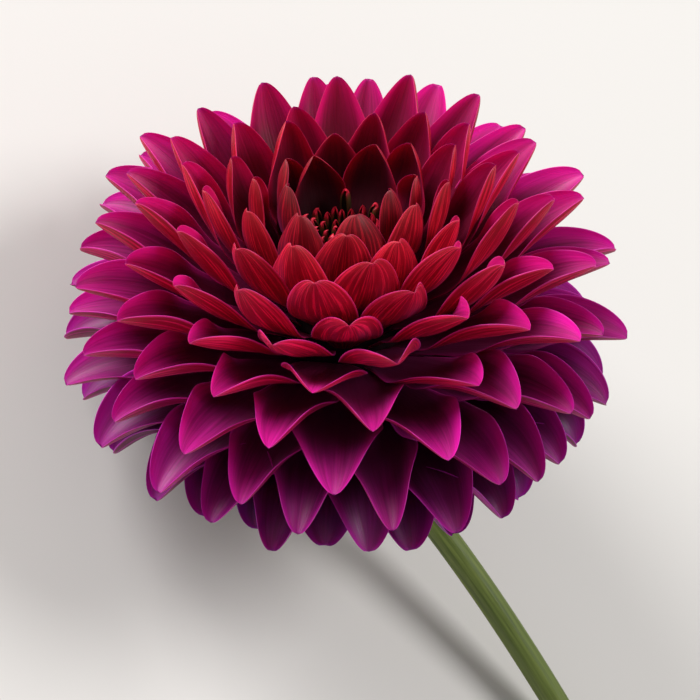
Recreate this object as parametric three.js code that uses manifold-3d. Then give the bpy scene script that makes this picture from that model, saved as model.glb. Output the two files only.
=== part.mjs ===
// A cut dahlia bloom, built petal by petal and laid down on its side, in millimetres.
//
// The head is built upright in its own frame: the flower's axis is +Z, the eye is on top and the origin is the
// middle of the head. Its petals stand on a domed receptacle in one spiral, each turned from the one before it by
// the golden angle. The head is then tilted over with its stem, and the whole flower is rolled until it lies still.
import * as THREE from 'three';
import { mergeVertices } from 'three/addons/utils/BufferGeometryUtils.js';
import { ConvexHull } from 'three/addons/math/ConvexHull.js';
import Module from 'manifold-3d';

const { cos, sin, sqrt, abs, sign, atan2, PI } = Math;
const { lerp, degToRad, smoothstep } = THREE.MathUtils;

// Driving dimensions of the head.
const HEAD_RADIUS = 60;
const CROWN_RISE = 46;
const BACK_DROP = 34;
const OUTLINE_FULLNESS = 0.86;
const BACK_TIP_ANGLE = -46;
const EYE_TIP_ANGLE = 83;
const TIP_CROWDING = 1;
const EYE_DIP = 6.5;
const EYE_DIP_FROM = 50;

// The petal spiral. Petals 21 places apart stand in steep outer files, petals 13 places apart in inner files.
const GOLDEN_ANGLE = 137.508;
const SPIRAL_START = 246;
const OUTER_FILES = 21;
const OUTER_ROWS = 6;
const INNER_FILES = 13;
const INNER_ROWS = 3;
const OUTER_PETALS = OUTER_FILES * OUTER_ROWS;
const PETALS = OUTER_PETALS + INNER_FILES * INNER_ROWS;

// The dome that the petals stand on.
const DOME_RADIUS = 14;
const DOME_RISE = 20;
const DOME_MIDDLE = -10;
const DOME_LOWEST_ROW = -0.35;
const DOME_HIGHEST_ROW = 0.96;

// One petal: how far it bends, how wide and deep it is, and how thick.
const BASE_LIFT = 35;
const OUTER_BEND = 64;
const INNER_CURL = 25;
const BEND_EASE = 1.3;
const HANDLE = 0.36;
const PETAL_HALF_WIDTH = 10.5;
const INNER_NARROWING = 0.45;
const BACK_CUP = 0.34;
const CROWN_CUP = 0.42;
const WIDEST_AT = 0.68;
const CLAW_HALF_WIDTH = 0.4;
const CLAW_THICKNESS = 0.5;
const TIP_THICKNESS = 0.4;
const BELLY_THICKNESS = 0.4;
const PETAL_STATIONS = [0, 0.34, 0.66, 0.87];

// The strip of receptacle skin that carries one file of petals.
const RIB_HALF_WIDTH = 0.7;
const RIB_HALF_DEPTH = 0.6;
const RIB_END = 1.1;
const GAP = 0.35;

// The eye, the bracts behind the head and the stem.
const BUD_RADIUS = 6;
const BUD_TOP = 36;
const RECEPTACLE_FOOT = -25;
const OUTER_BRACTS = 5;
const INNER_BRACTS = 8;
const STEM_RADIUS = 3.1;
const STEM_SIDES = 10;
const STEM_STEPS = 16;

// The lying pose, measured from the middle of the head.
const AXIS_RISE = 40;
const STEM_END = new THREE.Vector3(60, -106, -48);
const STEM_HEADING = 30;
const STEM_SLOPE = 13;
const STEM_NECK = 14;
const STEM_NECK_BEND = 35;
const STEM_REACH = 66;

const wasm = await Module();
wasm.setup();

const finish = {
  outerPetal: { color: 0xd0105f, roughness: 0.55 },
  innerPetal: { color: 0xb30a2c, roughness: 0.55 },
  eye: { color: 0x5a1620, roughness: 0.6 },
  receptacle: { color: 0x9bab5c, roughness: 0.6 },
  outerBract: { color: 0x5f7d35, roughness: 0.6 },
  innerBract: { color: 0xa9a35a, roughness: 0.5 },
  stem: { color: 0x6d7a34, roughness: 0.5 },
};

// A point of the head's upright half-plane: r from the axis, z along it.
const plane = (r, z) => new THREE.Vector2(r, z);
const angled = (degrees) => plane(cos(degToRad(degrees)), sin(degToRad(degrees)));
const swell = (value) => sign(value) * abs(value) ** OUTLINE_FULLNESS;

// Where petal tips lie, from the back row at u = 0 to the rim of the eye at u = 1.
function tipPoint(u) {
  const angle = lerp(BACK_TIP_ANGLE, EYE_TIP_ANGLE, 1 - (1 - u) ** TIP_CROWDING);
  const turn = degToRad(angle);
  const rise = turn < 0 ? BACK_DROP : CROWN_RISE;
  const dip = EYE_DIP * smoothstep(angle, EYE_DIP_FROM, EYE_TIP_ANGLE);
  return plane(HEAD_RADIUS * swell(cos(turn)), rise * swell(sin(turn)) - dip);
}

// Where petals stand on the dome, at equal steps of height so that each has the same room.
function basePoint(u) {
  const height = lerp(DOME_LOWEST_ROW, DOME_HIGHEST_ROW, u);
  return plane(DOME_RADIUS * sqrt(1 - height * height), DOME_MIDDLE + DOME_RISE * height);
}

// The petal's midrib: it leaves the dome steeply, arches, and ends reflexed on back rows or incurved at the eye.
function midrib(u) {
  const base = basePoint(u);
  const tip = tipPoint(u);
  const chord = tip.clone().sub(base);
  const lean = atan2(chord.y, chord.x) * 180 / PI;
  const reach = HANDLE * chord.length();
  const bend = lerp(OUTER_BEND, -INNER_CURL, u ** BEND_EASE);
  const rising = base.clone().add(angled(lean + BASE_LIFT * (1 - u)).multiplyScalar(reach));
  const ending = tip.clone().sub(angled(lean - bend).multiplyScalar(reach));
  return new THREE.CubicBezierCurve(base, rising, ending, tip);
}

// Turns a half-plane point and a sideways offset into a point of the head, round the flower's axis.
function place(point, sideways, azimuth) {
  const x = point.x * cos(azimuth) - sideways * sin(azimuth);
  const y = point.x * sin(azimuth) + sideways * cos(azimuth);
  return new THREE.Vector3(x, y, point.y);
}

// Joins rings of four points into one closed skin that starts with a flat cap and ends in a cap or a point.
function loft(rings, point = null) {
  const corners = rings.flat();
  const faces = [[0, 2, 1], [0, 3, 2]];
  for (let ring = 0; ring + 1 < rings.length; ring++) {
    for (let side = 0; side < 4; side++) {
      const a = 4 * ring + side;
      const b = 4 * ring + (side + 1) % 4;
      faces.push([a, b, b + 4], [a, b + 4, a + 4]);
    }
  }
  const last = 4 * (rings.length - 1);
  if (point) {
    corners.push(point);
    for (let side = 0; side < 4; side++) {
      faces.push([last + side, last + (side + 1) % 4, corners.length - 1]);
    }
  } else {
    faces.push([last, last + 1, last + 2], [last, last + 2, last + 3]);
  }
  const geometry = new THREE.BufferGeometry();
  geometry.setAttribute('position', new THREE.Float32BufferAttribute(corners.flatMap((c) => [c.x, c.y, c.z]), 3));
  geometry.setIndex(faces.flat());
  return geometry;
}

// A leaf-shaped blade on a midrib: a shallow trough of crescent section, thin at both edges.
function blade(curve, azimuth, halfWidthAt, cupRatio, stations, thicknessAt) {
  const rings = stations.map((s) => {
    const middle = curve.getPoint(s);
    const along = curve.getTangent(s);
    const up = plane(-along.y, along.x);
    const width = halfWidthAt(s);
    const edge = middle.clone().addScaledVector(up, cupRatio * width);
    const under = middle.clone().addScaledVector(up, -thicknessAt(s));
    return [place(edge, width, azimuth), place(middle, 0, azimuth), place(edge, -width, azimuth),
      place(under, 0, azimuth)];
  });
  return loft(rings, place(curve.getPoint(1), 0, azimuth));
}

const rankAt = (index) => (index + 0.5) / PETALS;
const azimuthOf = (index) => degToRad(SPIRAL_START + GOLDEN_ANGLE * index);

function petal(index) {
  const u = rankAt(index);
  const widest = PETAL_HALF_WIDTH * (1 - INNER_NARROWING * u * u);
  const skew = Math.log(0.5) / Math.log(WIDEST_AT);
  const halfWidthAt = (s) => CLAW_HALF_WIDTH * (1 - s) + widest * sin(PI * s ** skew);
  const thicknessAt = (s) => lerp(CLAW_THICKNESS, TIP_THICKNESS, s) + BELLY_THICKNESS * sin(PI * s);
  const cup = lerp(BACK_CUP, CROWN_CUP, u);
  return blade(midrib(u), azimuthOf(index), halfWidthAt, cup, PETAL_STATIONS, thicknessAt);
}

// The strip of skin under one file, as a bar that runs from just below its first foot to just above its last.
function rib(indices) {
  const feet = indices.map((index) => place(basePoint(rankAt(index)), 0, azimuthOf(index)));
  const section = (row, shift) => {
    const along = feet[Math.min(row + 1, feet.length - 1)].clone().sub(feet[Math.max(row - 1, 0)]).normalize();
    const middle = feet[row].clone().addScaledVector(along, shift);
    const out = new THREE.Vector3(middle.x / DOME_RADIUS ** 2, middle.y / DOME_RADIUS ** 2,
      (middle.z - DOME_MIDDLE) / DOME_RISE ** 2).normalize();
    const side = along.clone().cross(out).normalize().multiplyScalar(RIB_HALF_WIDTH);
    const deep = out.clone().multiplyScalar(RIB_HALF_DEPTH);
    return [middle.clone().sub(side).add(deep), middle.clone().add(side).add(deep),
      middle.clone().add(side).sub(deep), middle.clone().sub(side).sub(deep)];
  };
  return loft([section(0, -RIB_END), ...feet.map((foot, row) => section(row, RIB_END))]);
}

function toSolid(geometry) {
  const bare = geometry.clone();
  bare.deleteAttribute('normal');
  bare.deleteAttribute('uv');
  const merged = mergeVertices(bare);
  const mesh = { numProp: 3, vertProperties: merged.attributes.position.array, triVerts: merged.index.array };
  return new wasm.Manifold(new wasm.Mesh(mesh));
}

function fromSolid(solid) {
  const { vertProperties, triVerts } = solid.getMesh();
  const geometry = new THREE.BufferGeometry();
  geometry.setAttribute('position', new THREE.BufferAttribute(vertProperties, 3));
  geometry.setIndex(new THREE.BufferAttribute(triVerts, 1));
  return geometry;
}

// One file of petals with the strip of skin that they grow from, joined in one solid.
function petalFile(indices) {
  const parts = [rib(indices), ...indices.map(petal)];
  return fromSolid(parts.map(toSolid).reduce((whole, part) => whole.add(part)));
}

// A body turned round the flower's axis from an outline of half-plane points.
function turned(outline, sides) {
  const lathe = new THREE.LatheGeometry(outline, sides);
  return fromSolid(toSolid(lathe.rotateX(PI / 2)));
}

// The fleshy receptacle: a short neck over the stem, a flared underside and the dome inside the petals' feet.
function receptacle() {
  const inset = RIB_HALF_DEPTH + GAP;
  const outline = [plane(0, RECEPTACLE_FOOT), plane(4, RECEPTACLE_FOOT), plane(7.5, RECEPTACLE_FOOT + 3)];
  for (let step = 0; step <= 6; step++) {
    const height = lerp(DOME_LOWEST_ROW, 1, step / 6);
    const r = (DOME_RADIUS - inset) * sqrt(1 - height * height);
    outline.push(plane(step === 6 ? 0 : r, DOME_MIDDLE + (DOME_RISE - inset) * height));
  }
  return turned(outline, 20);
}

// The unopened florets of the eye, as one bud that stands on top of the receptacle.
function eyeBud() {
  const foot = DOME_MIDDLE + DOME_RISE;
  const outline = [plane(0, foot), plane(1.6, foot), plane(BUD_RADIUS * 0.75, lerp(foot, BUD_TOP, 0.5)),
    plane(BUD_RADIUS, BUD_TOP - 5), plane(BUD_RADIUS * 0.7, BUD_TOP - 1.2), plane(0, BUD_TOP)];
  return turned(outline, 16);
}

// A bract behind the head, between two half-plane points, with its own bend.
function bract(azimuth, base, ending, lift, halfWidth, thickness) {
  const chord = ending.clone().sub(base);
  const lean = atan2(chord.y, chord.x) * 180 / PI;
  const reach = HANDLE * chord.length();
  const rising = base.clone().add(angled(lean + lift).multiplyScalar(reach));
  const falling = ending.clone().sub(angled(lean - lift).multiplyScalar(reach));
  const curve = new THREE.CubicBezierCurve(base, rising, falling, ending);
  const halfWidthAt = (s) => halfWidth * (0.45 * (1 - s) + sin(PI * s ** 0.9) * 0.8);
  const stations = [0, 0.25, 0.5, 0.8];
  return blade(curve, degToRad(azimuth), halfWidthAt, 0.2, stations, () => thickness);
}

function stemPath() {
  const axis = new THREE.Vector3(0, cos(degToRad(AXIS_RISE)), sin(degToRad(AXIS_RISE)));
  const bend = degToRad(STEM_NECK_BEND);
  const start = axis.clone().multiplyScalar(RECEPTACLE_FOOT - GAP - STEM_RADIUS * sin(bend));
  const leaving = axis.clone().multiplyScalar(-cos(bend)).add(new THREE.Vector3(sin(bend), 0, 0));
  const neck = start.clone().addScaledVector(leaving, STEM_NECK);
  const level = cos(degToRad(STEM_SLOPE));
  const heading = new THREE.Vector3(level * sin(degToRad(STEM_HEADING)), -level * cos(degToRad(STEM_HEADING)),
    -sin(degToRad(STEM_SLOPE)));
  const approach = STEM_END.clone().addScaledVector(heading, -STEM_REACH);
  return new THREE.CubicBezierCurve3(start, neck, approach, STEM_END);
}

function stem() {
  const section = new THREE.Shape();
  for (let side = 0; side < STEM_SIDES; side++) {
    const turn = 2 * PI * side / STEM_SIDES;
    const corner = [STEM_RADIUS * cos(turn), STEM_RADIUS * sin(turn)];
    if (side === 0) section.moveTo(...corner);
    else section.lineTo(...corner);
  }
  const shape = { extrudePath: stemPath(), steps: STEM_STEPS, bevelEnabled: false };
  return fromSolid(toSolid(new THREE.ExtrudeGeometry(section, shape)));
}

const number = (index) => String(index + 1).padStart(2, '0');

function named(name, geometry, look) {
  const mesh = new THREE.Mesh(geometry, new THREE.MeshStandardMaterial({ metalness: 0, ...look }));
  mesh.name = name;
  return mesh;
}

function buildHead() {
  const head = new THREE.Group();
  for (let file = 0; file < OUTER_FILES; file++) {
    const indices = Array.from({ length: OUTER_ROWS }, (_, row) => file + row * OUTER_FILES);
    head.add(named(`outer_petals_${number(file)}`, petalFile(indices), finish.outerPetal));
  }
  for (let file = 0; file < INNER_FILES; file++) {
    const indices = Array.from({ length: INNER_ROWS }, (_, row) => OUTER_PETALS + file + row * INNER_FILES);
    head.add(named(`inner_petals_${number(file)}`, petalFile(indices), finish.innerPetal));
  }
  head.add(named('receptacle', receptacle(), finish.receptacle));
  head.add(named('eye_bud', eyeBud(), finish.eye));
  for (let seat = 0; seat < INNER_BRACTS; seat++) {
    const geometry = bract(360 * seat / INNER_BRACTS, plane(12.2, -19.4), plane(29, -21), 18, 4.2, 0.5);
    head.add(named(`inner_bract_${number(seat)}`, geometry, finish.innerBract));
  }
  for (let seat = 0; seat < OUTER_BRACTS; seat++) {
    const geometry = bract(360 * (seat + 0.5) / OUTER_BRACTS, plane(8.6, -23), plane(20, -31), 35, 2.8, 0.8);
    head.add(named(`outer_bract_${number(seat)}`, geometry, finish.outerBract));
  }
  return head;
}

// Every corner of the flower, and its centre of mass as one even material.
function survey(group) {
  const corners = [];
  const centre = new THREE.Vector3();
  let volume = 0;
  group.updateMatrixWorld(true);
  group.traverse((node) => {
    if (!node.isMesh) return;
    const flat = node.geometry.toNonIndexed().applyMatrix4(node.matrixWorld).attributes.position;
    const points = Array.from({ length: flat.count }, (_, at) => new THREE.Vector3().fromBufferAttribute(flat, at));
    for (let at = 0; at < points.length; at += 3) {
      const [a, b, c] = points.slice(at, at + 3);
      const part = a.dot(b.clone().cross(c)) / 6;
      volume += part;
      centre.addScaledVector(a.clone().add(b).add(c), part / 4);
    }
    corners.push(...points);
  });
  return { corners, centre: centre.divideScalar(volume) };
}

// Rolls the flower from face to face of its hull until its centre of mass is over the face that it lies on.
function restingDown(group) {
  const { corners, centre } = survey(group);
  const hull = new ConvexHull().setFromPoints(corners);
  let down = new THREE.Vector3(0, 0, -1);
  for (let rolling = true; rolling;) {
    let nearest = null;
    let least = Infinity;
    for (const face of hull.faces) {
      const facing = face.normal.dot(down);
      const distance = (face.constant - face.normal.dot(centre)) / facing;
      if (facing > 0 && distance < least) {
        least = distance;
        nearest = face;
      }
    }
    rolling = nearest.normal.angleTo(down) > 1e-6;
    down = nearest.normal.clone();
  }
  return down;
}

// The flower lies on the plane z = 0 with its eye leaning towards +Y, and its box stands centred on the origin.
function buildFlower() {
  const head = buildHead();
  head.rotation.x = degToRad(AXIS_RISE - 90);
  const lying = new THREE.Group();
  lying.add(head, named('stem', stem(), finish.stem));
  lying.quaternion.setFromUnitVectors(restingDown(lying), new THREE.Vector3(0, 0, -1));
  const flower = new THREE.Group();
  flower.add(lying);
  flower.updateMatrixWorld(true);
  const axis = new THREE.Vector3(0, 0, 1).transformDirection(head.matrixWorld);
  lying.rotateOnWorldAxis(new THREE.Vector3(0, 0, 1), atan2(axis.x, axis.y));
  flower.updateMatrixWorld(true);
  const box = new THREE.Box3().setFromObject(flower, true);
  lying.position.set(-(box.min.x + box.max.x) / 2, -(box.min.y + box.max.y) / 2, -box.min.z);
  return flower;
}

export default buildFlower();
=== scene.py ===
"""A cut dahlia bloom laid down on its side: ray petals, eye, receptacle, bracts and stem."""
import math
import random
from dataclasses import dataclass
from functools import partial
from typing import Callable

import bmesh
import bpy
from bpy.props import FloatProperty, FloatVectorProperty, IntProperty, PointerProperty
from mathutils import Matrix, Vector


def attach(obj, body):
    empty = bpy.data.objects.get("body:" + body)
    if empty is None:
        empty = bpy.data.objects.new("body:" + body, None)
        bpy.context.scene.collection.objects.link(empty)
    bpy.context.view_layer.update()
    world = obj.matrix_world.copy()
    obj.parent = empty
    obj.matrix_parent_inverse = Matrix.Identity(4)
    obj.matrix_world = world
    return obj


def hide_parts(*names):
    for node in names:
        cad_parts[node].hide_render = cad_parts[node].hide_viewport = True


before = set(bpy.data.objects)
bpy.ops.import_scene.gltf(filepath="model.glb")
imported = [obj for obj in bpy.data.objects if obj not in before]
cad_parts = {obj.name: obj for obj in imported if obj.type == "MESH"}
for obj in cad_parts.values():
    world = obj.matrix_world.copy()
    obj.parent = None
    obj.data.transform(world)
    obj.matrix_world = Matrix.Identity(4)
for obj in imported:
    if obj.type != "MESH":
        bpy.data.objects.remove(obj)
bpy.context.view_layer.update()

bl_info = {
    "name": "Dahlia Bloom",
    "version": (1, 0, 0),
    "blender": (4, 5, 0),
    "location": "3D View > Sidebar > Dahlia",
    "description": "Builds a cut dahlia bloom petal by petal on its receptacle and stem",
    "category": "Add Mesh",
}

MM = 0.001

# The petal spiral, as the solids have it: each petal is turned from the last by the golden angle.
GOLDEN_ANGLE = math.radians(137.508)
SPIRAL_START = math.radians(246)
OUTER_FILES, OUTER_ROWS = 21, 6
INNER_FILES, INNER_ROWS = 13, 3
OUTER_PETALS = OUTER_FILES * OUTER_ROWS
PETALS = OUTER_PETALS + INNER_FILES * INNER_ROWS

# Feet of the lowest and the highest petal, as shares of the dome's height above its middle.
LOWEST_FOOT, HIGHEST_FOOT = -0.35, 0.96

# The receptacle's lowest point and the head's tilt from the stem's own line of growth.
RECEPTACLE_FOOT = -25 * MM
AXIS_TILT = math.radians(50)

# The stem's cut end, in a frame that is tilted as its growth is.
STEM_END = Vector((60, -106, -48)) * MM

# The receptacle below its dome, as radius and height in millimetres.
RECEPTACLE_PROFILE = ((0, -25), (3.4, -25), (4.6, -24.6), (6.4, -23), (9.4, -20.6), (12.4, -18.4))
DOME_STEPS = 14

# Vertices closer than this are one.
SAME_PLACE = 0.002 * MM

FLOOR_HALF_SIZE = 3
# Softboxes: name, place to the right of, above and in front of the head in metres, size in metres and power in watts.
SOFTBOXES = (
    ("key_softbox", (-0.9, 1.5, 0.9), 1.1, 42),
    ("side_softbox", (1.6, 0.7, 0.8), 0.9, 20),
)
LOWEST_LAMP = 0.25
ROOM_LIGHT = 0.35
CAMERA_DISTANCE = 0.7
CAMERA_LENS = 165
# Where the camera aims, to the right of and above the head's origin.
CAMERA_AIM = (1.5 * MM, -6.1 * MM)


def linear(code):
    """An sRGB hex colour as the linear colour that a shader takes."""
    channels = [int(code[at : at + 2], 16) / 255 for at in (1, 3, 5)]
    return [c / 12.92 if c <= 0.04045 else ((c + 0.055) / 1.055) ** 2.4 for c in channels] + [1.0]


def mix(a, b, share):
    return a + (b - a) * share


def ease(low, high, value):
    """Rises smoothly from 0 at low to 1 at high."""
    share = min(1, max(0, (value - low) / (high - low)))
    return share * share * (3 - 2 * share)


# ------------------------------------------------------------------------------------ sizes and colours


def size(name, description, millimetres):
    return FloatProperty(
        name=name, description=description, default=millimetres * MM, subtype="DISTANCE", unit="LENGTH", precision=5
    )


def angle(name, description, degrees):
    return FloatProperty(name=name, description=description, default=math.radians(degrees), subtype="ANGLE")


def ratio(name, description, value):
    return FloatProperty(name=name, description=description, default=value, subtype="FACTOR")


def count(name, description, number):
    return IntProperty(name=name, description=description, default=number)


def colour(name, description, code):
    return FloatVectorProperty(name=name, description=description, default=linear(code), subtype="COLOR", size=4)


class DahliaHead(bpy.types.PropertyGroup):
    """Outline of the head and the dome that its petals stand on."""

    radius: size("Head radius", "From the axis to the widest petal tips", 60)
    crown_rise: size("Crown rise", "From the widest petal tips up to the rim of the eye", 46)
    back_drop: size("Back drop", "From the widest petal tips down to the back row", 34)
    fullness: ratio("Fullness", "Roundness of the outline, where 1 is an ellipse", 0.86)
    back_tip: angle("Back tip angle", "Where the tips of the back row lie", -46)
    eye_tip: angle("Eye tip angle", "Where the tips of the innermost row lie", 83)
    eye_dip: size("Eye dip", "How far the crown sinks towards the eye", 6.5)
    dip_start: angle("Dip start", "Where the crown starts to sink", 50)
    dome_radius: size("Dome radius", "Radius of the receptacle's dome", 14)
    dome_rise: size("Dome rise", "Height of the receptacle's dome", 20)
    dome_middle: size("Dome middle", "Height of the dome's widest ring", -10)
    seed: count("Seed", "Seed of the petals' small differences", 11)


class DahliaPetal(bpy.types.PropertyGroup):
    """Size and form of one ray petal."""

    half_width: size("Half width", "Half the width of an outer petal, laid flat", 9.3)
    narrowing: ratio("Narrowing", "How much narrower the innermost petals are", 0.36)
    widest_at: ratio("Widest at", "Where along the petal it is widest", 0.68)
    roundness: ratio("Roundness", "Bluntness of the outline, where 1 ends in a straight-sided point", 0.55)
    claw: size("Claw", "Half the width of the petal's foot", 2.4)
    thickness: size("Thickness", "Thickness of the blade", 0.45)
    lift: angle("Lift", "How far a back petal leaves above the straight line to its tip", 35)
    reflex: angle("Reflex", "How far a back petal's tip bends down", 64)
    incurve: angle("Incurve", "How far the innermost petal's tip bends in", 25)
    back_curl: angle("Back curl", "How far a back petal's edges roll up", 84)
    crown_curl: angle("Crown curl", "How far an inner petal's edges roll up", 78)
    pinch: angle("Pinch", "How much further the edges roll up at the tip", 12)
    beak: size("Beak", "How far the keel rises to the tip", 6)
    ridge: size("Ridge", "Height of the lengthwise ridges", 0.14)
    ridges: count("Ridges", "Lengthwise ridges on one petal", 4)
    wave: size("Wave", "Height of the edges' waves", 0.25)


class DahliaEye(bpy.types.PropertyGroup):
    """The unopened florets that fill the eye."""

    florets: count("Florets", "How many florets the eye holds", 44)
    foot_radius: size("Foot radius", "From the axis to the outermost floret's foot", 3.6)
    tip_radius: size("Tip radius", "From the axis to the outermost floret's tip", 7.6)
    outer_height: size("Outer height", "Height of the outermost floret's tip", 32)
    inner_height: size("Inner height", "Height of the innermost floret's tip", 25)
    outer_half_width: size("Outer half width", "Half the width of the outermost floret", 2.7)
    inner_half_width: size("Inner half width", "Half the width of the innermost floret", 1.5)
    hook: angle("Hook", "How far a floret's tip bends in", 115)
    curl: angle("Curl", "How far a floret's edges roll up", 150)


class DahliaStem(bpy.types.PropertyGroup):
    """Size of the cut stem."""

    radius: size("Radius", "Radius of the stem", 3.1)
    neck: size("Neck", "How far the neck carries on the way that it leaves", 14)
    neck_bend: angle("Neck bend", "How far the stem leaves from the head's axis", 35)
    reach: size("Reach", "How far the cut end's straight line reaches back", 66)
    slope: angle("Slope", "How far the stem falls away at its cut end", 13)
    heading: angle("Heading", "Which way the stem leans at its cut end", 30)
    hollow: size("Hollow", "Radius of the hollow pith at the cut", 1.5)
    hollow_depth: size("Hollow depth", "How deep the hollow runs in from the cut", 3)


class DahliaColours(bpy.types.PropertyGroup):
    """Main colours of the living tissue and the floor."""

    # The tip colour is partly the petal's own magenta and partly painted highlight.
    petal_tip: colour("Petal tip", "Inner face near the tip, in the middle rows", "#fc1cac")
    # The foot colour is partly the petal's own deeper base and partly painted shade in the cup and under the petals
    # above.
    petal_foot: colour("Petal foot", "Inner face near the foot, in the middle rows", "#500434")
    petal_back: colour("Petal back", "Underside between the veins, in the middle rows", "#a00428")
    petal_vein: colour("Petal vein", "Veins of the underside, in the middle rows", "#f01a5c")
    # The rim colour is painted highlight: light glowing through the thin edge.
    petal_rim_highlight: colour("Petal rim", "Thin edge, in the middle rows", "#fa3cc0")
    floret_tip: colour("Floret tip", "Tips of the unopened florets", "#e02440")
    receptacle: colour("Receptacle", "Flesh of the receptacle", "#b4bf74")
    inner_bract: colour("Inner bract", "Thin inner bracts", "#bdb673")
    outer_bract: colour("Outer bract", "Leafy outer bracts", "#6d8d3c")
    stem: colour("Stem", "Skin of the stem", "#7c8b42")
    floor: colour("Floor", "Studio floor", "#e6e3df")


# ------------------------------------------------------------------------------------ head's own frame


def corners_of(node):
    """A node's corners, each once."""
    return [Vector(c) for c in {tuple(round(x, 6) for x in v.co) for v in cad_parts[node].data.vertices}]


def middle_of(node):
    corners = corners_of(node)
    return sum(corners, Vector()) / len(corners)


def find_head():
    """The head's own frame, read from the solids: +Z is the flower's axis and +X passes over the first inner bract."""
    seat = middle_of("receptacle")
    axis = (middle_of("eye_bud") - seat).normalized()
    lowest = min(c.dot(axis) for c in corners_of("receptacle"))
    origin = seat + axis * (lowest - RECEPTACLE_FOOT - seat.dot(axis))
    first = middle_of("inner_bract_01") - origin
    side = (first - axis * first.dot(axis)).normalized()
    turn = Matrix((side, axis.cross(side), axis)).transposed().to_4x4()
    return Matrix.Translation(origin) @ turn


HEAD = find_head()


def plane(r, z):
    """A point of the head's half-plane: r from the axis, z along it."""
    return Vector((r, z))


def toward(turn):
    return plane(math.cos(turn), math.sin(turn))


def bezier(points, s):
    """A point of a cubic curve and its direction."""
    a, b, c, d = points
    r = 1 - s
    slope = (b - a) * r * r + (c - b) * 2 * r * s + (d - c) * s * s
    return a * r**3 + b * 3 * r * r * s + c * 3 * r * s * s + d * s**3, slope.normalized()


def tip_point(head, rank):
    """Where a petal's tip lies, from the back row at rank 0 to the rim of the eye at rank 1."""
    turn = mix(head.back_tip, head.eye_tip, rank)
    rise = head.back_drop if turn < 0 else head.crown_rise
    swell = [math.copysign(abs(v) ** head.fullness, v) for v in (math.cos(turn), math.sin(turn))]
    dip = head.eye_dip * ease(head.dip_start, head.eye_tip, turn)
    return plane(head.radius * swell[0], rise * swell[1] - dip)


def base_point(head, rank):
    """Where a petal stands on the dome."""
    height = mix(LOWEST_FOOT, HIGHEST_FOOT, rank)
    return plane(head.dome_radius * math.sqrt(1 - height * height), head.dome_middle + head.dome_rise * height)


def arch(base, tip, lift, bend, handle=0.36):
    """A midrib from base to tip that leaves lift above the straight line and ends bend below it."""
    chord = tip - base
    lean = math.atan2(chord.y, chord.x)
    reach = handle * chord.length
    return base, base + toward(lean + lift) * reach, tip - toward(lean - bend) * reach, tip


# ------------------------------------------------------------------------------------ blades


@dataclass
class Blade:
    """A petal, floret or bract: a midrib in the half-plane at its azimuth, and how the blade spreads on it."""

    midrib: tuple
    azimuth: float
    half_width: Callable
    curl: Callable
    thickness: float
    rank: float = 0
    chance: float = 0
    beak: float = 0
    ridge: float = 0
    ridges: int = 0
    twist: float = 0
    sway: float = 0
    wave: float = 0


def new_blades():
    """An empty mesh with the maps that blades carry."""
    bm = bmesh.new()
    bm.loops.layers.uv.new("petal")
    bm.loops.layers.uv.new("OFBake")
    bm.verts.layers.float.new("rank")
    bm.verts.layers.float.new("chance")
    return bm


def along(share):
    """Stations along a blade, closer together towards the tip."""
    return 1.35 * share - 0.35 * share**3


def lane(turn):
    """A place round a section, from 0 to 4 quarters: its side (1 inner, -1 under) and place between the edges."""
    return (1, math.sin(math.pi / 2 * (turn - 1))) if turn <= 2 else (-1, math.sin(math.pi / 2 * (3 - turn)))


def section(blade, axes, s, around):
    """Places round a blade's section at s of the way along it: an arc whose ends curl up, ridged lengthwise."""
    outward, sideways, upward = axes
    middle, slope = bezier(blade.midrib, s)
    up = plane(-slope.y, slope.x)
    # The keel rises in the outer half of the blade and is steepest at the tip.
    middle = middle + up * (blade.beak * max(0, (s - 0.5) / 0.5) ** 2.2)
    centre = HEAD.translation + outward * middle.x + upward * middle.y + sideways * (blade.sway * s * s)
    lifted = outward * up.x + upward * up.y
    lean = blade.twist * s * s
    across = sideways * math.cos(lean) + lifted * math.sin(lean)
    lifted = lifted * math.cos(lean) - sideways * math.sin(lean)
    curl = max(0.05, blade.curl(s))
    radius = blade.half_width(s) / curl
    body = 0.5 * blade.thickness * min(1, s / 0.03) * (1 - s**10)
    swell = math.sin(math.pi * s) ** 0.6 if 0 < s < 1 else 0
    places = []
    for side, t in around:
        bow = curl * t
        depth = body * (1 - t * t) ** 0.35 * side if abs(t) < 1 else 0
        depth += blade.ridge * swell * (1 - t * t) * math.cos(math.pi * blade.ridges * t)
        reach = (radius - depth) * math.sin(bow)
        rise = radius - (radius - depth) * math.cos(bow)
        rise += blade.wave * swell * t**4 * math.sin(9 * s + 40 * blade.chance + 2 * t)
        places.append(centre + across * reach + lifted * rise)
    return places


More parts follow.
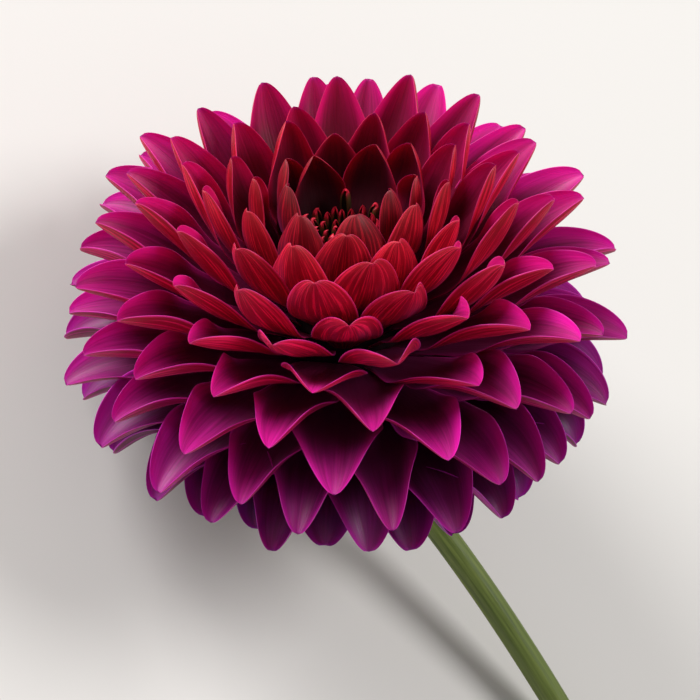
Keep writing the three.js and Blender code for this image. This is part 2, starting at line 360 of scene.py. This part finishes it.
def add_blade(bm, blade, columns, rows, cell):
    """Wraps a grid round one blade: its first half is the inner face, its second half the underside."""
    maps = bm.loops.layers.uv
    floats = bm.verts.layers.float
    verts = bmesh.ops.create_grid(bm, x_segments=2 * columns, y_segments=rows, size=0.5)["verts"]
    per_row = 2 * columns + 1
    around = [lane(2 * column / columns) for column in range(per_row)]
    turn = HEAD.to_3x3()
    axes = (
        turn @ Vector((math.cos(blade.azimuth), math.sin(blade.azimuth), 0)),
        turn @ Vector((-math.sin(blade.azimuth), math.cos(blade.azimuth), 0)),
        turn @ Vector((0, 0, 1)),
    )
    for row in range(rows + 1):
        places = section(blade, axes, along(row / rows), around)
        # A section that would sink into the surface rests 0.1 mm above it.
        lift = max(0, 0.1 * MM - min(p.z for p in places))
        for vert, place in zip(verts[row * per_row : (row + 1) * per_row], places):
            vert.co = place + Vector((0, 0, lift))
            vert[floats["rank"]] = blade.rank
            vert[floats["chance"]] = blade.chance
    (left, bottom), (wide, tall) = cell
    number = {vert: at for at, vert in enumerate(verts)}
    for face in {face for vert in verts for face in vert.link_faces}:
        face.smooth = True
        for loop in face.loops:
            row, column = divmod(number[loop.vert], per_row)
            side, t = around[column]
            half = 0.25 * (1 + t) if side > 0 else 0.75 - 0.25 * t
            loop[maps["petal"]].uv = (half, along(row / rows))
            loop[maps["OFBake"]].uv = (left + wide * column / (per_row - 1), bottom + tall * row / rows)
    bmesh.ops.remove_doubles(bm, verts=verts, dist=SAME_PLACE)


def cells(columns, rows):
    """Places for blades side by side on one square map, with a gap between them."""
    gap = 0.008
    wide, tall = 1 / columns, 1 / rows
    return [
        ((column * wide + gap, row * tall + gap), (wide - 2 * gap, tall - 2 * gap))
        for row in range(rows)
        for column in range(columns)
    ]


def finish_piece(name, bm, material, nodes):
    """Closes a mesh and makes it a piece that stands for the given solids."""
    bmesh.ops.recalc_face_normals(bm, faces=bm.faces)
    mesh = bpy.data.meshes.new(name)
    bm.to_mesh(mesh)
    bm.free()
    mesh.materials.append(material)
    piece = bpy.data.objects.new(name, mesh)
    bpy.context.scene.collection.objects.link(piece)
    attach(piece, "root")
    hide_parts(*nodes)
    return piece


# ------------------------------------------------------------------------------------ materials


def add_node(tree, kind, inputs=None, stops=None, **settings):
    """Adds a node: settings are its own, stops fill its ramp, and each input gets a value or another node's output."""
    made = tree.nodes.new(kind)
    for name, value in settings.items():
        setattr(made, name, value)
    for at, (position, tint) in enumerate(stops or ()):
        ramp = made.color_ramp.elements
        stop = ramp[at] if at < 2 else ramp.new(position)
        stop.position = position
        stop.color = linear(tint) if isinstance(tint, str) else tint
    for key, value in (inputs or {}).items():
        if isinstance(value, bpy.types.NodeSocket):
            tree.links.new(value, made.inputs[key])
        else:
            made.inputs[key].default_value = value
    return made


def new_material(name):
    """An empty material and the function that adds its nodes."""
    material = bpy.data.materials.new(name)
    material.use_nodes = True
    material.node_tree.nodes.clear()
    return material, partial(add_node, material.node_tree)


def petal_tissue(colours):
    """Living ray petal: satin inner face, darker towards its foot partly by painted shade, and a veined underside;
    painted highlights brighten its tip and thin edges.
    """
    material, add = new_material("living_ray_petal")
    place = add("ShaderNodeSeparateXYZ", {0: add("ShaderNodeUVMap", uv_map="petal").outputs[0]})
    rank = add("ShaderNodeAttribute", attribute_name="rank").outputs["Fac"]
    chance = add("ShaderNodeAttribute", attribute_name="chance").outputs["Fac"]
    x, y = place.outputs[0], place.outputs[1]
    # Half the map is one face, about 20 mm wide, so 60 periods across it all are veins 0.7 mm apart.
    lanes = add("ShaderNodeMath", {0: x, 1: 60.0}, operation="MULTIPLY").outputs[0]
    length = add("ShaderNodeMath", {0: y, 1: 2.6}, operation="MULTIPLY").outputs[0]
    shift = add("ShaderNodeMath", {0: chance, 1: 50.0}, operation="MULTIPLY").outputs[0]
    streak_at = add("ShaderNodeCombineXYZ", {0: lanes, 1: length, 2: shift}).outputs[0]
    streaks = add("ShaderNodeTexNoise", {"Vector": streak_at, "Scale": 1.0, "Detail": 3.0, "Roughness": 0.62})
    streak = streaks.outputs["Fac"]
    under = add("ShaderNodeMath", {0: x, 1: 0.5}, operation="GREATER_THAN").outputs[0]
    inward = add("ShaderNodeMath", {0: x, 1: 0.25}, operation="PINGPONG").outputs[0]

    # These ramps run from the back row at 0 to the rim of the eye at 1. The tip, foot, underside and vein colours
    # darken to wine and purple towards the back row: partly the older petals' own deeper colour, partly painted shade
    # of the head's lower side.
    stops = [(0, "#700e86"), (0.22, "#b01498"), (0.42, "#f01ab0"), (0.6, colours.petal_tip)]
    stops += [(0.78, "#f4168a"), (0.93, "#cc0c40"), (1, "#8e0618")]
    tips = add("ShaderNodeValToRGB", {0: rank}, stops).outputs[0]
    # Foot colours: partly the petal's own deeper base, partly painted shade in the cup and under the petals above.
    stops = [(0, "#24022c"), (0.4, colours.petal_foot), (0.85, "#70042a"), (1, "#2c020c")]
    feet = add("ShaderNodeValToRGB", {0: rank}, stops).outputs[0]
    stops = [(0, "#480640"), (0.35, "#7c0440"), (0.6, colours.petal_back), (0.9, "#9c0418"), (1, "#5e0612")]
    backs = add("ShaderNodeValToRGB", {0: rank}, stops).outputs[0]
    stops = [(0, "#9416a0"), (0.35, "#d01488"), (0.6, colours.petal_vein), (0.9, "#ee1c3a"), (1, "#b81428")]
    veins = add("ShaderNodeValToRGB", {0: rank}, stops).outputs[0]
    # Rim colours are painted highlight of light glowing through the thin edges.
    stops = [(0, "#b82cc8"), (0.5, colours.petal_rim_highlight), (0.85, "#f03070"), (1, "#d02040")]
    rim_highlights = add("ShaderNodeValToRGB", {0: rank}, stops).outputs[0]

    # The colour brightens towards the tip and, on the inner face, towards both edges: the tip is partly the petal's
    # own paler colour and partly painted highlight, and the band along the edges is painted highlight of light glowing
    # through them.
    edge_highlight_band = add("ShaderNodeMapRange", {0: inward, 1: 0.14, 2: 0.0, 4: 0.42}, interpolation_type="SMOOTHSTEP")
    reach = add("ShaderNodeMath", {0: y, 1: edge_highlight_band.outputs[0]}, operation="ADD").outputs[0]
    wander = add("ShaderNodeMath", {0: streak, 1: 0.3, 2: reach}, operation="MULTIPLY_ADD").outputs[0]
    bright = add("ShaderNodeMapRange", {0: wander, 1: 0.78, 2: 1.44}, interpolation_type="SMOOTHSTEP").outputs[0]
    inner = add("ShaderNodeMix", {0: bright, 6: feet, 7: tips}, data_type="RGBA").outputs[2]
    vein = add("ShaderNodeMapRange", {0: streak, 1: 0.46, 2: 0.66}, interpolation_type="SMOOTHSTEP").outputs[0]
    outer = add("ShaderNodeMix", {0: vein, 6: backs, 7: veins}, data_type="RGBA").outputs[2]
    tissue = add("ShaderNodeMix", {0: under, 6: inner, 7: outer}, data_type="RGBA").outputs[2]
    # Painted highlight: a thin bright rim along both edges stands for light glowing through them.
    rim = add("ShaderNodeMapRange", {0: inward, 1: 0.016, 2: 0.0, 4: 0.9}).outputs[0]
    tissue = add("ShaderNodeMix", {0: rim, 6: tissue, 7: rim_highlights}, data_type="RGBA").outputs[2]
    tone = add("ShaderNodeMapRange", {0: chance, 3: 0.86, 4: 1.14}).outputs[0]
    tissue = add("ShaderNodeHueSaturation", {"Color": tissue, "Value": tone}).outputs[0]

    sheen = add("ShaderNodeMapRange", {0: streak, 3: 0.36, 4: 0.56}).outputs[0]
    relief = add("ShaderNodeBump", {"Height": streak, "Strength": 0.35, "Distance": 0.3 * MM}).outputs[0]
    shader = add(
        "ShaderNodeBsdfPrincipled",
        {
            "Base Color": tissue,
            "Roughness": sheen,
            "Normal": relief,
            "IOR": 1.42,
            "Sheen Weight": 0.12,
            "Sheen Roughness": 0.4,
            "Sheen Tint": linear("#ff5ac0"),
            "Subsurface Weight": 0.15,
            "Subsurface Radius": (1.0, 0.16, 0.3),
            "Subsurface Scale": 1.5 * MM,
        },
    )
    add("ShaderNodeOutputMaterial", {"Surface": shader.outputs[0]})
    return material


def floret_tissue(colours):
    """Unopened florets: waxy olive brown, darker towards their feet, with red tips where the petals are coming."""
    material, add = new_material("unopened_floret")
    place = add("ShaderNodeSeparateXYZ", {0: add("ShaderNodeUVMap", uv_map="petal").outputs[0]})
    chance = add("ShaderNodeAttribute", attribute_name="chance").outputs["Fac"]
    lanes = add("ShaderNodeMath", {0: place.outputs[0], 1: 40.0}, operation="MULTIPLY").outputs[0]
    shift = add("ShaderNodeMath", {0: chance, 1: 50.0}, operation="MULTIPLY").outputs[0]
    streak_at = add("ShaderNodeCombineXYZ", {0: lanes, 1: place.outputs[1], 2: shift}).outputs[0]
    streak = add("ShaderNodeTexNoise", {"Vector": streak_at, "Scale": 1.0, "Detail": 2.0}).outputs["Fac"]
    height = add("ShaderNodeMath", {0: streak, 1: 0.2, 2: place.outputs[1]}, operation="MULTIPLY_ADD").outputs[0]
    stops = [(0.3, "#12080a"), (0.6, "#1c0c0c"), (0.84, "#463c1c"), (0.95, "#7a1018"), (1.0, colours.floret_tip)]
    tissue = add("ShaderNodeValToRGB", {0: height}, stops).outputs[0]
    relief = add("ShaderNodeBump", {"Height": streak, "Strength": 0.3, "Distance": 0.2 * MM}).outputs[0]
    shader = add(
        "ShaderNodeBsdfPrincipled", {"Base Color": tissue, "Roughness": 0.4, "Normal": relief, "IOR": 1.42}
    )
    add("ShaderNodeOutputMaterial", {"Surface": shader.outputs[0]})
    return material


def leaf_tissue(name, dark, light, roughness, spacing, fibred=False, under_petal_shade=None):
    """Green tissue of a bract, receptacle or stem: matt to waxy, mottled with darker green and finely grained."""
    material, add = new_material(name)
    at = add("ShaderNodeTexCoord").outputs["Object"]
    if fibred:
        # The map runs once round the stem and once along it, so fibres stand about 0.5 mm apart and run far.
        wound = add("ShaderNodeUVMap", uv_map="petal").outputs[0]
        at = add("ShaderNodeMapping", {"Vector": wound, "Scale": (0.14, 0.03, 1)}).outputs[0]
    # Object coordinates are metres, so a scale of 1 over the spacing gives one patch for each spacing.
    patches = add("ShaderNodeTexNoise", {"Vector": at, "Scale": 1 / spacing, "Detail": 4.0, "Roughness": 0.6})
    fibres = add("ShaderNodeTexNoise", {"Vector": at, "Scale": 4 / spacing, "Detail": 2.0})
    tissue = add("ShaderNodeValToRGB", {0: patches.outputs["Fac"]}, [(0.3, dark), (0.7, light)]).outputs[0]
    if under_petal_shade:
        # Painted shade: where the petals stand over the dome, it turns near-black wine.
        covered = add("ShaderNodeAttribute", attribute_name="covered").outputs["Fac"]
        tissue = add("ShaderNodeMix", {0: covered, 6: tissue, 7: linear(under_petal_shade)}, data_type="RGBA").outputs[2]
    relief = add("ShaderNodeBump", {"Height": fibres.outputs["Fac"], "Strength": 0.25, "Distance": 0.2 * MM})
    gloss = add("ShaderNodeMapRange", {0: patches.outputs["Fac"], 3: roughness - 0.08, 4: roughness + 0.08})
    shader = add(
        "ShaderNodeBsdfPrincipled",
        {
            "Base Color": tissue,
            "Roughness": gloss.outputs[0],
            "Normal": relief.outputs[0],
            "IOR": 1.42,
            "Subsurface Weight": 0.1,
            "Subsurface Radius": (0.5, 1.0, 0.2),
            "Subsurface Scale": 1 * MM,
        },
    )
    add("ShaderNodeOutputMaterial", {"Surface": shader.outputs[0]})
    return material


# ------------------------------------------------------------------------------------ pieces


def ray_petal(index, head, petal):
    """One petal of the spiral, with its own small differences."""
    rank = (index + 0.5) / PETALS
    draw = random.Random(head.seed * 1000 + index)
    widest = petal.half_width * (1 - petal.narrowing * rank * rank) * draw.uniform(0.92, 1.08)
    skew = math.log(0.5) / math.log(petal.widest_at)
    open_curl = mix(petal.back_curl, petal.crown_curl, rank) * draw.uniform(0.84, 1.2)
    pinch = petal.pinch * draw.uniform(0.6, 1.4)
    base, tip = base_point(head, rank), tip_point(head, rank)
    tip = base + (tip - base) * draw.uniform(0.96, 1.04)
    bend = mix(petal.reflex, -petal.incurve, rank**1.3) + math.radians(draw.uniform(-6, 6))
    lift = petal.lift * (1 - rank) + math.radians(draw.uniform(-3, 3))
    # Beaks are longest in the middle rows.
    strength = mix(0.5, 1, ease(0.05, 0.35, rank)) * mix(1, 0.75, ease(0.75, 1, rank))
    beak = petal.beak * strength * draw.uniform(0.7, 1.2)
    lean = math.atan2((tip - base).y, (tip - base).x) - bend
    tip = tip - plane(-math.sin(lean), math.cos(lean)) * beak

    def half_width(s):
        blunt = mix(0.62, petal.roundness, ease(0.3, petal.widest_at, s))
        return (petal.claw * (1 - s) + widest * math.sin(math.pi * s**skew) ** blunt) * min(1, s / 0.02)

    def curl(s):
        # The hidden part stays flat, so that it passes under the petal above.
        return mix(0.12, 1, ease(mix(0.52, 0.44, rank), 0.87, s)) * open_curl + pinch * ease(0.8, 1, s)

    return Blade(
        midrib=arch(base, tip, lift, bend),
        azimuth=SPIRAL_START + GOLDEN_ANGLE * index + math.radians(draw.uniform(-1.6, 1.6)),
        half_width=half_width,
        curl=curl,
        thickness=petal.thickness,
        rank=rank,
        chance=draw.random(),
        beak=beak,
        ridge=petal.ridge * draw.uniform(0.5, 1.3),
        ridges=petal.ridges,
        twist=math.radians(draw.uniform(-6, 6)),
        sway=draw.uniform(-2, 2) * MM,
        wave=petal.wave,
    )


class DAHLIA_OT_petals(bpy.types.Operator):
    """Adds the ray petals, one piece for each file of the spiral"""

    bl_idname = "dahlia.petals"
    bl_label = "Ray Petals"

    def execute(self, context):
        head, petal = context.scene.dahlia_head, context.scene.dahlia_petal
        tissue = petal_tissue(context.scene.dahlia_colours)
        runs = [("outer", 0, OUTER_FILES, OUTER_ROWS), ("inner", OUTER_PETALS, INNER_FILES, INNER_ROWS)]
        for ring, first, files, rows in runs:
            for file in range(files):
                bm = new_blades()
                for row, cell in zip(range(rows), cells(4, 2)):
                    add_blade(bm, ray_petal(first + file + row * files, head, petal), 16, 36, cell)
                number = f"{file + 1:02d}"
                finish_piece(f"{ring}_ray_{number}", bm, tissue, [f"{ring}_petals_{number}"])
        return {"FINISHED"}


def floret(order, seed, eye):
    """One unopened floret, from the outermost at order 0 to the innermost."""
    share = (order + 0.5) / eye.florets
    draw = random.Random(seed * 2000 + order)
    spread = math.sqrt(1 - share)
    base = plane(eye.foot_radius * spread, mix(9.2, 10.4, share) * MM)
    height = mix(eye.outer_height, eye.inner_height, math.sqrt(share))
    tip = plane(eye.tip_radius * spread, height * draw.uniform(0.94, 1.02))
    widest = mix(eye.outer_half_width, eye.inner_half_width, share)
    hook = -eye.hook * draw.uniform(0.5, 1.1)

    def half_width(s):
        return (0.3 * MM + widest * math.sin(math.pi * s**1.5) ** 0.8) * min(1, s / 0.02) * (1 - s**16)

    return Blade(
        midrib=arch(base, tip, math.radians(-20) * spread, hook, 0.24),
        azimuth=SPIRAL_START + GOLDEN_ANGLE * (PETALS + order),
        half_width=half_width,
        curl=lambda s: eye.curl,
        thickness=0.4 * MM,
        rank=1,
        chance=draw.random(),
        ridge=0.08 * MM,
        ridges=3,
        twist=math.radians(draw.uniform(-30, 30)),
    )


class DAHLIA_OT_eye(bpy.types.Operator):
    """Adds the unopened florets that fill the eye"""

    bl_idname = "dahlia.eye"
    bl_label = "Eye Florets"

    def execute(self, context):
        eye = context.scene.dahlia_eye
        bm = new_blades()
        places = cells(8, math.ceil(eye.florets / 8))
        for order in range(eye.florets):
            add_blade(bm, floret(order, context.scene.dahlia_head.seed, eye), 8, 18, places[order])
        finish_piece("eye_florets", bm, floret_tissue(context.scene.dahlia_colours), ["eye_bud"])
        return {"FINISHED"}


class DAHLIA_OT_receptacle(bpy.types.Operator):
    """Adds the fleshy receptacle under the petals"""

    bl_idname = "dahlia.receptacle"
    bl_label = "Receptacle"

    def execute(self, context):
        head = context.scene.dahlia_head
        # The skin stands this far above the solid's dome, so that the petals' feet start inside it.
        skin = 0.3 * MM
        outline = [Vector((r * MM, 0, z * MM)) for r, z in RECEPTACLE_PROFILE]
        for step in range(DOME_STEPS + 1):
            height = mix(-0.3, 1, step / DOME_STEPS)
            r = (head.dome_radius + skin) * math.sqrt(1 - height * height)
            outline.append(Vector((r, 0, head.dome_middle + (head.dome_rise + skin) * height)))
        bm = bmesh.new()
        points = [bm.verts.new(point) for point in outline]
        edges = [bm.edges.new(pair) for pair in zip(points, points[1:])]
        bmesh.ops.spin(
            bm, geom=points + edges, cent=(0, 0, 0), axis=(0, 0, 1), angle=2 * math.pi, steps=64, use_merge=True
        )
        bmesh.ops.remove_doubles(bm, verts=bm.verts, dist=0.01 * MM)
        # The dome where the petals stand is marked, so that painted shade can darken it there.
        covered = bm.verts.layers.float.new("covered")
        for vert in bm.verts:
            vert[covered] = ease(-18.5 * MM, -16 * MM, vert.co.z)
        bmesh.ops.transform(bm, matrix=HEAD, verts=bm.verts)
        for face in bm.faces:
            face.smooth = True
        light = context.scene.dahlia_colours.receptacle
        # Near-black wine on the dome under the petals is painted shade.
        tissue = leaf_tissue("fleshy_receptacle", "#7f8f46", light, 0.5, 4 * MM, under_petal_shade="#24040f")
        finish_piece("receptacle_flesh", bm, tissue, ["receptacle"])
        return {"FINISHED"}


@dataclass
class BractRing:
    """A ring of bracts behind the head; lengths are in millimetres and feet and tips are radius and height."""

    name: str
    count: int
    first: float
    foot: tuple
    tip: tuple
    arch: float
    half_width: float
    thickness: float

    def blade(self, seat):
        """One bract of the ring, with its own small differences."""
        draw = random.Random(seat + self.count)
        widest = self.half_width * MM * draw.uniform(0.95, 1.1)
        bow = math.radians(self.arch)
        foot, tip = plane(*self.foot) * MM, plane(*self.tip) * MM * draw.uniform(0.97, 1.02)

        def half_width(s):
            return widest * (0.45 * (1 - s) + 0.8 * math.sin(math.pi * s**0.9)) * min(1, s / 0.02)

        return Blade(
            midrib=arch(foot, tip, bow, bow),
            azimuth=2 * math.pi * (seat + self.first) / self.count,
            half_width=half_width,
            curl=lambda s: 0.5 + 0.3 * s,
            thickness=self.thickness * MM,
            rank=0,
            chance=draw.random(),
            ridge=0.12 * MM,
            ridges=5,
            twist=math.radians(draw.uniform(-8, 8)),
            wave=0.2 * MM,
        )


INNER_BRACTS = BractRing("inner_bract", 8, 0, (12.2, -19.4), (29, -21), 18, 4.2, 0.5)
OUTER_BRACTS = BractRing("outer_bract", 5, 0.5, (8.6, -23), (20, -31), 35, 2.8, 0.8)


class DAHLIA_OT_bracts(bpy.types.Operator):
    """Adds the two rings of bracts behind the head"""

    bl_idname = "dahlia.bracts"
    bl_label = "Bracts"

    def execute(self, context):
        colours = context.scene.dahlia_colours
        papery = leaf_tissue("papery_inner_bract", "#8f8a45", colours.inner_bract, 0.45, 5 * MM)
        leafy = leaf_tissue("leafy_outer_bract", "#3f5d22", colours.outer_bract, 0.5, 4 * MM)
        for ring, tissue in ((INNER_BRACTS, papery), (OUTER_BRACTS, leafy)):
            for seat in range(ring.count):
                bm = new_blades()
                add_blade(bm, ring.blade(seat), 12, 24, cells(1, 1)[0])
                number = f"{seat + 1:02d}"
                finish_piece(f"{ring.name}_blade_{number}", bm, tissue, [f"{ring.name}_{number}"])
        return {"FINISHED"}


def stem_route(stem):
    """The stem's curve, from inside the receptacle's foot to the cut."""
    growth = Matrix.Rotation(AXIS_TILT, 3, "X")
    # The leaning stem starts low enough for its edge to clear the receptacle.
    start = Vector((0, 0, RECEPTACLE_FOOT - 0.35 * MM - stem.radius * math.sin(stem.neck_bend)))
    leaving = Vector((math.sin(stem.neck_bend), 0, -math.cos(stem.neck_bend)))
    level = math.cos(stem.slope)
    heading = Vector((level * math.sin(stem.heading), -level * math.cos(stem.heading), -math.sin(stem.slope)))
    heading = growth @ heading
    end = growth @ STEM_END
    return start - leaving * 2 * MM, start + leaving * stem.neck, end - heading * stem.reach, end


class DAHLIA_OT_stem(bpy.types.Operator):
    """Adds the cut stem, hollow at its end"""

    bl_idname = "dahlia.stem"
    bl_label = "Stem"

    def execute(self, context):
        stem = context.scene.dahlia_stem
        route = stem_route(stem)
        sides, steps = 40, 80
        bm = bmesh.new()
        bm.loops.layers.uv.new("petal")
        verts = bmesh.ops.create_grid(bm, x_segments=sides, y_segments=steps, size=0.5, calc_uvs=True)["verts"]
        side = Vector((1, 0, 0))
        for step in range(steps + 1):
            share = step / steps
            point, slope = bezier(route, share)
            side = (side - slope * side.dot(slope)).normalized()
            across = slope.cross(side)
            # The stem flares into the receptacle, and eight faint ribs run along it.
            flare = 1 + 0.5 * (1 - ease(0, 0.1, share)) - 0.04 * ease(0.8, 1, share)
            for at in range(sides + 1):
                turn = 2 * math.pi * at / sides
                rib = 1 + 0.018 * math.cos(8 * turn) + 0.012 * math.sin(3 * turn + 5 * share)
                reach = stem.radius * flare * rib
                vert = verts[step * (sides + 1) + at]
                vert.co = HEAD @ (point + (side * math.cos(turn) + across * math.sin(turn)) * reach)
        bmesh.ops.remove_doubles(bm, verts=bm.verts, dist=SAME_PLACE)
        ends = bmesh.ops.holes_fill(bm, edges=[edge for edge in bm.edges if edge.is_boundary], sides=0)["faces"]
        for face in bm.faces:
            face.smooth = face not in ends
        bmesh.ops.recalc_face_normals(bm, faces=bm.faces)
        # The cut is sunk in its middle, where the pith has dried away from the wall.
        cut = max(ends, key=lambda face: (face.calc_center_median() - HEAD.translation).length)
        chamfer = 0.25 * MM
        bmesh.ops.inset_individual(bm, faces=[cut], thickness=chamfer, depth=0.1 * MM)
        bmesh.ops.inset_individual(bm, faces=[cut], thickness=stem.radius - stem.hollow - chamfer, depth=0)
        bmesh.ops.inset_individual(bm, faces=[cut], thickness=0.15 * MM, depth=-stem.hollow_depth)
        light = context.scene.dahlia_colours.stem
        tissue = leaf_tissue("waxy_green_stem", "#4f6026", light, 0.42, 6 * MM, fibred=True)
        finish_piece("stem_skin", bm, tissue, ["stem"])
        return {"FINISHED"}


class DAHLIA_OT_stage(bpy.types.Operator):
    """Adds the plain floor, the soft studio lights and the camera"""

    bl_idname = "dahlia.stage"
    bl_label = "Studio"

    def execute(self, context):
        bm = bmesh.new()
        bmesh.ops.create_grid(bm, x_segments=1, y_segments=1, size=FLOOR_HALF_SIZE)
        mesh = bpy.data.meshes.new("studio_floor")
        bm.to_mesh(mesh)
        bm.free()
        # Matt paper scatters the light evenly, so the floor shows soft shadows and no reflection.
        paper, add = new_material("matt_paper_floor")
        tint = context.scene.dahlia_colours.floor
        shader = add("ShaderNodeBsdfPrincipled", {"Base Color": tint, "Roughness": 0.9})
        add("ShaderNodeOutputMaterial", {"Surface": shader.outputs[0]})
        mesh.materials.append(paper)
        floor = bpy.data.objects.new("studio_floor", mesh)
        context.scene.collection.objects.link(floor)

        world = bpy.data.worlds.new("soft_room")
        world.use_nodes = True
        world.node_tree.nodes["Background"].inputs["Color"].default_value = linear("#f2f1f0")
        world.node_tree.nodes["Background"].inputs["Strength"].default_value = ROOM_LIGHT
        context.scene.world = world

        facing = HEAD.to_3x3() @ Vector((0, -math.sin(AXIS_TILT), math.cos(AXIS_TILT)))
        above = HEAD.to_3x3() @ Vector((0, math.cos(AXIS_TILT), math.sin(AXIS_TILT)))
        right = above.cross(facing)
        middle = HEAD.translation
        for name, place, wide, power in SOFTBOXES:
            light = bpy.data.lights.new(name, "AREA")
            light.shape = "DISK"
            light.size = wide
            light.energy = power
            lamp = bpy.data.objects.new(name, light)
            lamp.location = middle + right * place[0] + above * place[1] + facing * place[2]
            lamp.location.z = max(lamp.location.z, LOWEST_LAMP)
            lamp.rotation_euler = (middle - lamp.location).to_track_quat("-Z", "Y").to_euler()
            context.scene.collection.objects.link(lamp)

        lens = bpy.data.cameras.new("camera")
        lens.sensor_width = 36
        lens.lens = CAMERA_LENS
        lens.clip_end = 20
        camera = bpy.data.objects.new("camera", lens)
        aim = middle + right * CAMERA_AIM[0] + above * CAMERA_AIM[1]
        turn = Matrix((right, above, facing)).transposed()
        camera.matrix_world = Matrix.Translation(aim + facing * CAMERA_DISTANCE) @ turn.to_4x4()
        context.scene.collection.objects.link(camera)
        context.scene.camera = camera
        # The standard transform keeps the magenta as strong as its colours say.
        context.scene.view_settings.view_transform = "Standard"
        return {"FINISHED"}


class DAHLIA_PT_panel(bpy.types.Panel):
    """Lists the steps that build the bloom"""

    bl_idname = "DAHLIA_PT_panel"
    bl_label = "Dahlia Bloom"
    bl_space_type = "VIEW_3D"
    bl_region_type = "UI"
    bl_category = "Dahlia"

    def draw(self, context):
        for step in STEPS:
            self.layout.operator(step.bl_idname)


STEPS = (DAHLIA_OT_petals, DAHLIA_OT_eye, DAHLIA_OT_receptacle, DAHLIA_OT_bracts, DAHLIA_OT_stem, DAHLIA_OT_stage)
SETTINGS = {
    "dahlia_head": DahliaHead,
    "dahlia_petal": DahliaPetal,
    "dahlia_eye": DahliaEye,
    "dahlia_stem": DahliaStem,
    "dahlia_colours": DahliaColours,
}


def register():
    for kind in (*SETTINGS.values(), *STEPS, DAHLIA_PT_panel):
        bpy.utils.register_class(kind)
    for name, kind in SETTINGS.items():
        setattr(bpy.types.Scene, name, PointerProperty(type=kind))


def unregister():
    for name in SETTINGS:
        delattr(bpy.types.Scene, name)
    for kind in reversed((*SETTINGS.values(), *STEPS, DAHLIA_PT_panel)):
        bpy.utils.unregister_class(kind)


def main():
    register()
    for step in STEPS:
        group, name = step.bl_idname.split(".")
        getattr(getattr(bpy.ops, group), name)()


if __name__ == "__main__":
    main()
